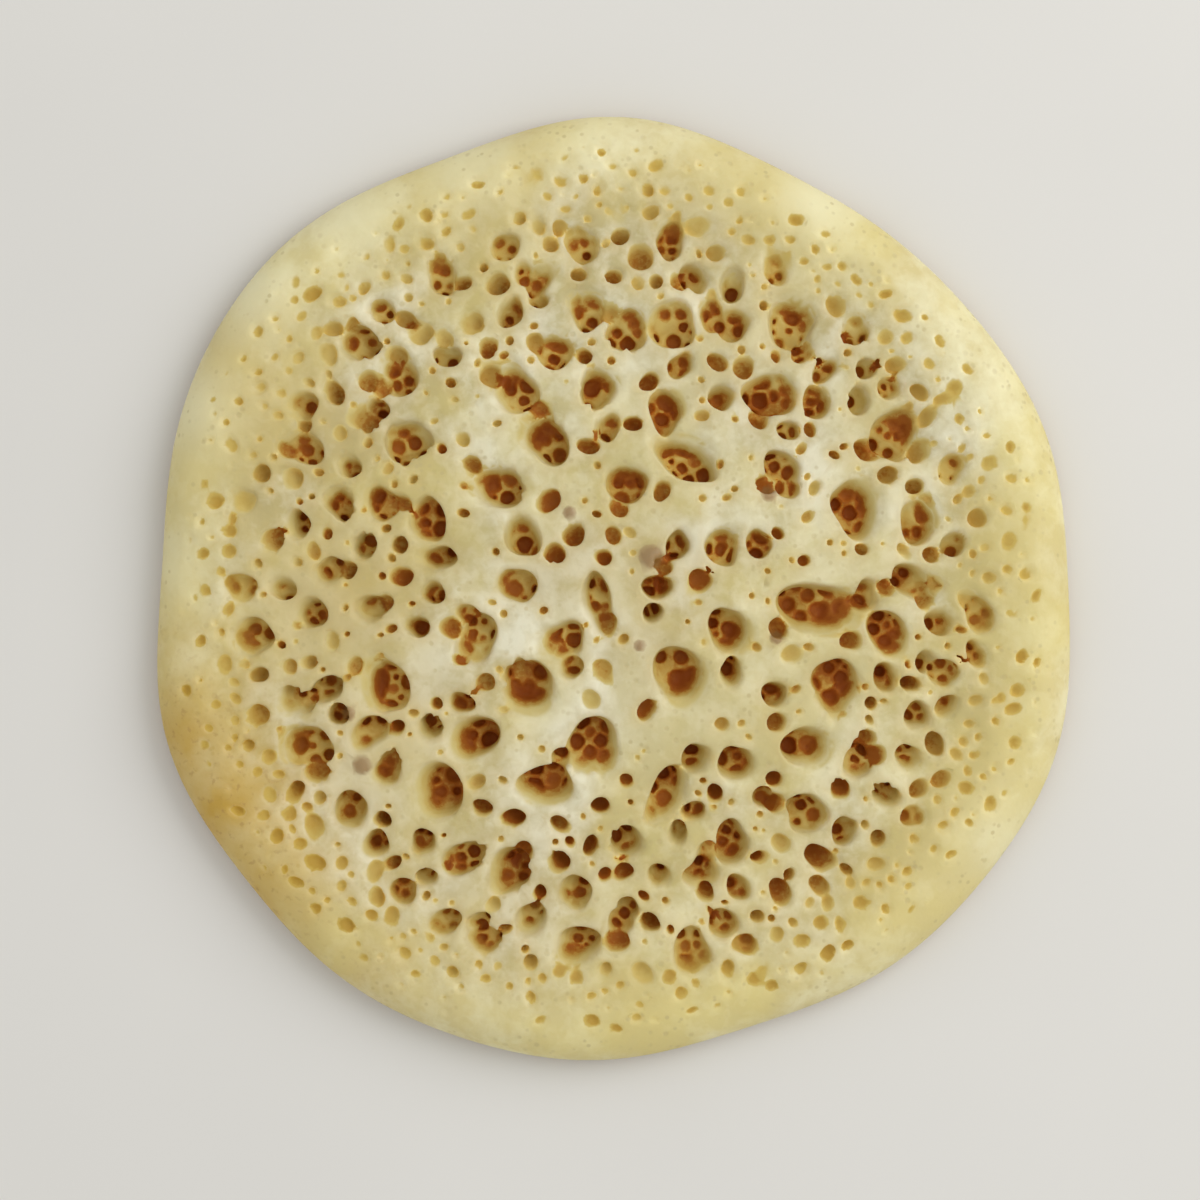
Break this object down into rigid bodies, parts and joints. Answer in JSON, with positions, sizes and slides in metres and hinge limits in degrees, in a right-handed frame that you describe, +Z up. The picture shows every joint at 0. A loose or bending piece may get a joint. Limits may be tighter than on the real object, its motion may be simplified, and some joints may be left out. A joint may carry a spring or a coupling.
{
  "type": "qatayef pancake",
  "caption": "Soft round griddle pancake cooked on one side: a flat browned base under a spongy top of open bubble pores, folded round a filling before eating.",
  "frame": {"origin": "centre of the bounding box of the pancake's flat underside, the face that lay on the griddle", "axes": "+Z up out of the porous top, the thin way through; +X and +Y lie in the underside, with the one browned stretch of the border on the -X side towards -Y"},
  "size_m": [0.0982, 0.1014, 0.0064],
  "materials": {
    "dough": "satin"
  },
  "bodies": {
    "root": {"pancake": "dough"}
  },
  "joints": []
}
